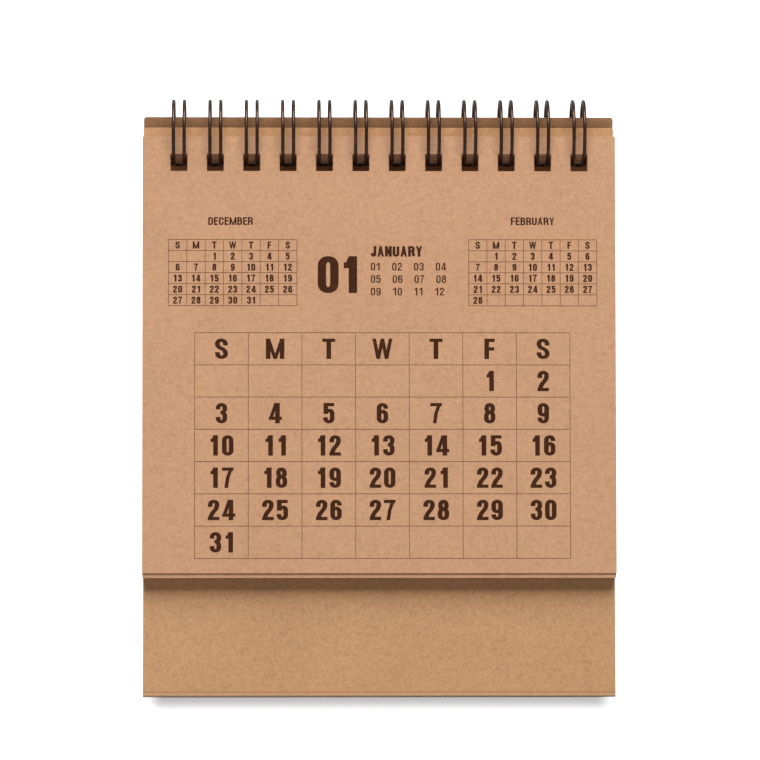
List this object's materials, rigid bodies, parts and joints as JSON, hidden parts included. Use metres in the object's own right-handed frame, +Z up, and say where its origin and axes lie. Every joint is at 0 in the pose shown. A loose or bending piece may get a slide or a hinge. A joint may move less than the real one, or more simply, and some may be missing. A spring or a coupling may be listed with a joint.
{
  "type": "desk calendar",
  "caption": "Tent-shaped desk calendar: a folded board stand with punched paper sheets hung on a twin-loop wire, the front sheet lifting over the top.",
  "frame": {"origin": "middle of the base's underside, where the stand rests on the desk", "axes": "+X along the wire to the reader's right, -Y towards the reader, +Z up"},
  "size_m": [0.11, 0.0618, 0.1348],
  "materials": {
    "board": "uncoated kraft board, matt",
    "wire": "dark bronze lacquered wire, semi-gloss",
    "front_paper": "uncoated kraft paper with dark print, matt",
    "block_paper": "uncoated kraft paper, matt"
  },
  "bodies": {
    "stand": {"stand": "board", "binding_wire": "wire", "page_block": "block_paper"},
    "front_sheet": {"front_sheet": "front_paper"}
  },
  "joints": [
    {"name": "front_sheet_turn", "type": "hinge", "parent": "stand", "child": "front_sheet", "pos_m": [0, 0.00396, 0.12695], "axis": [-1, 0, 0], "range_deg": [0, 210]}
  ]
}
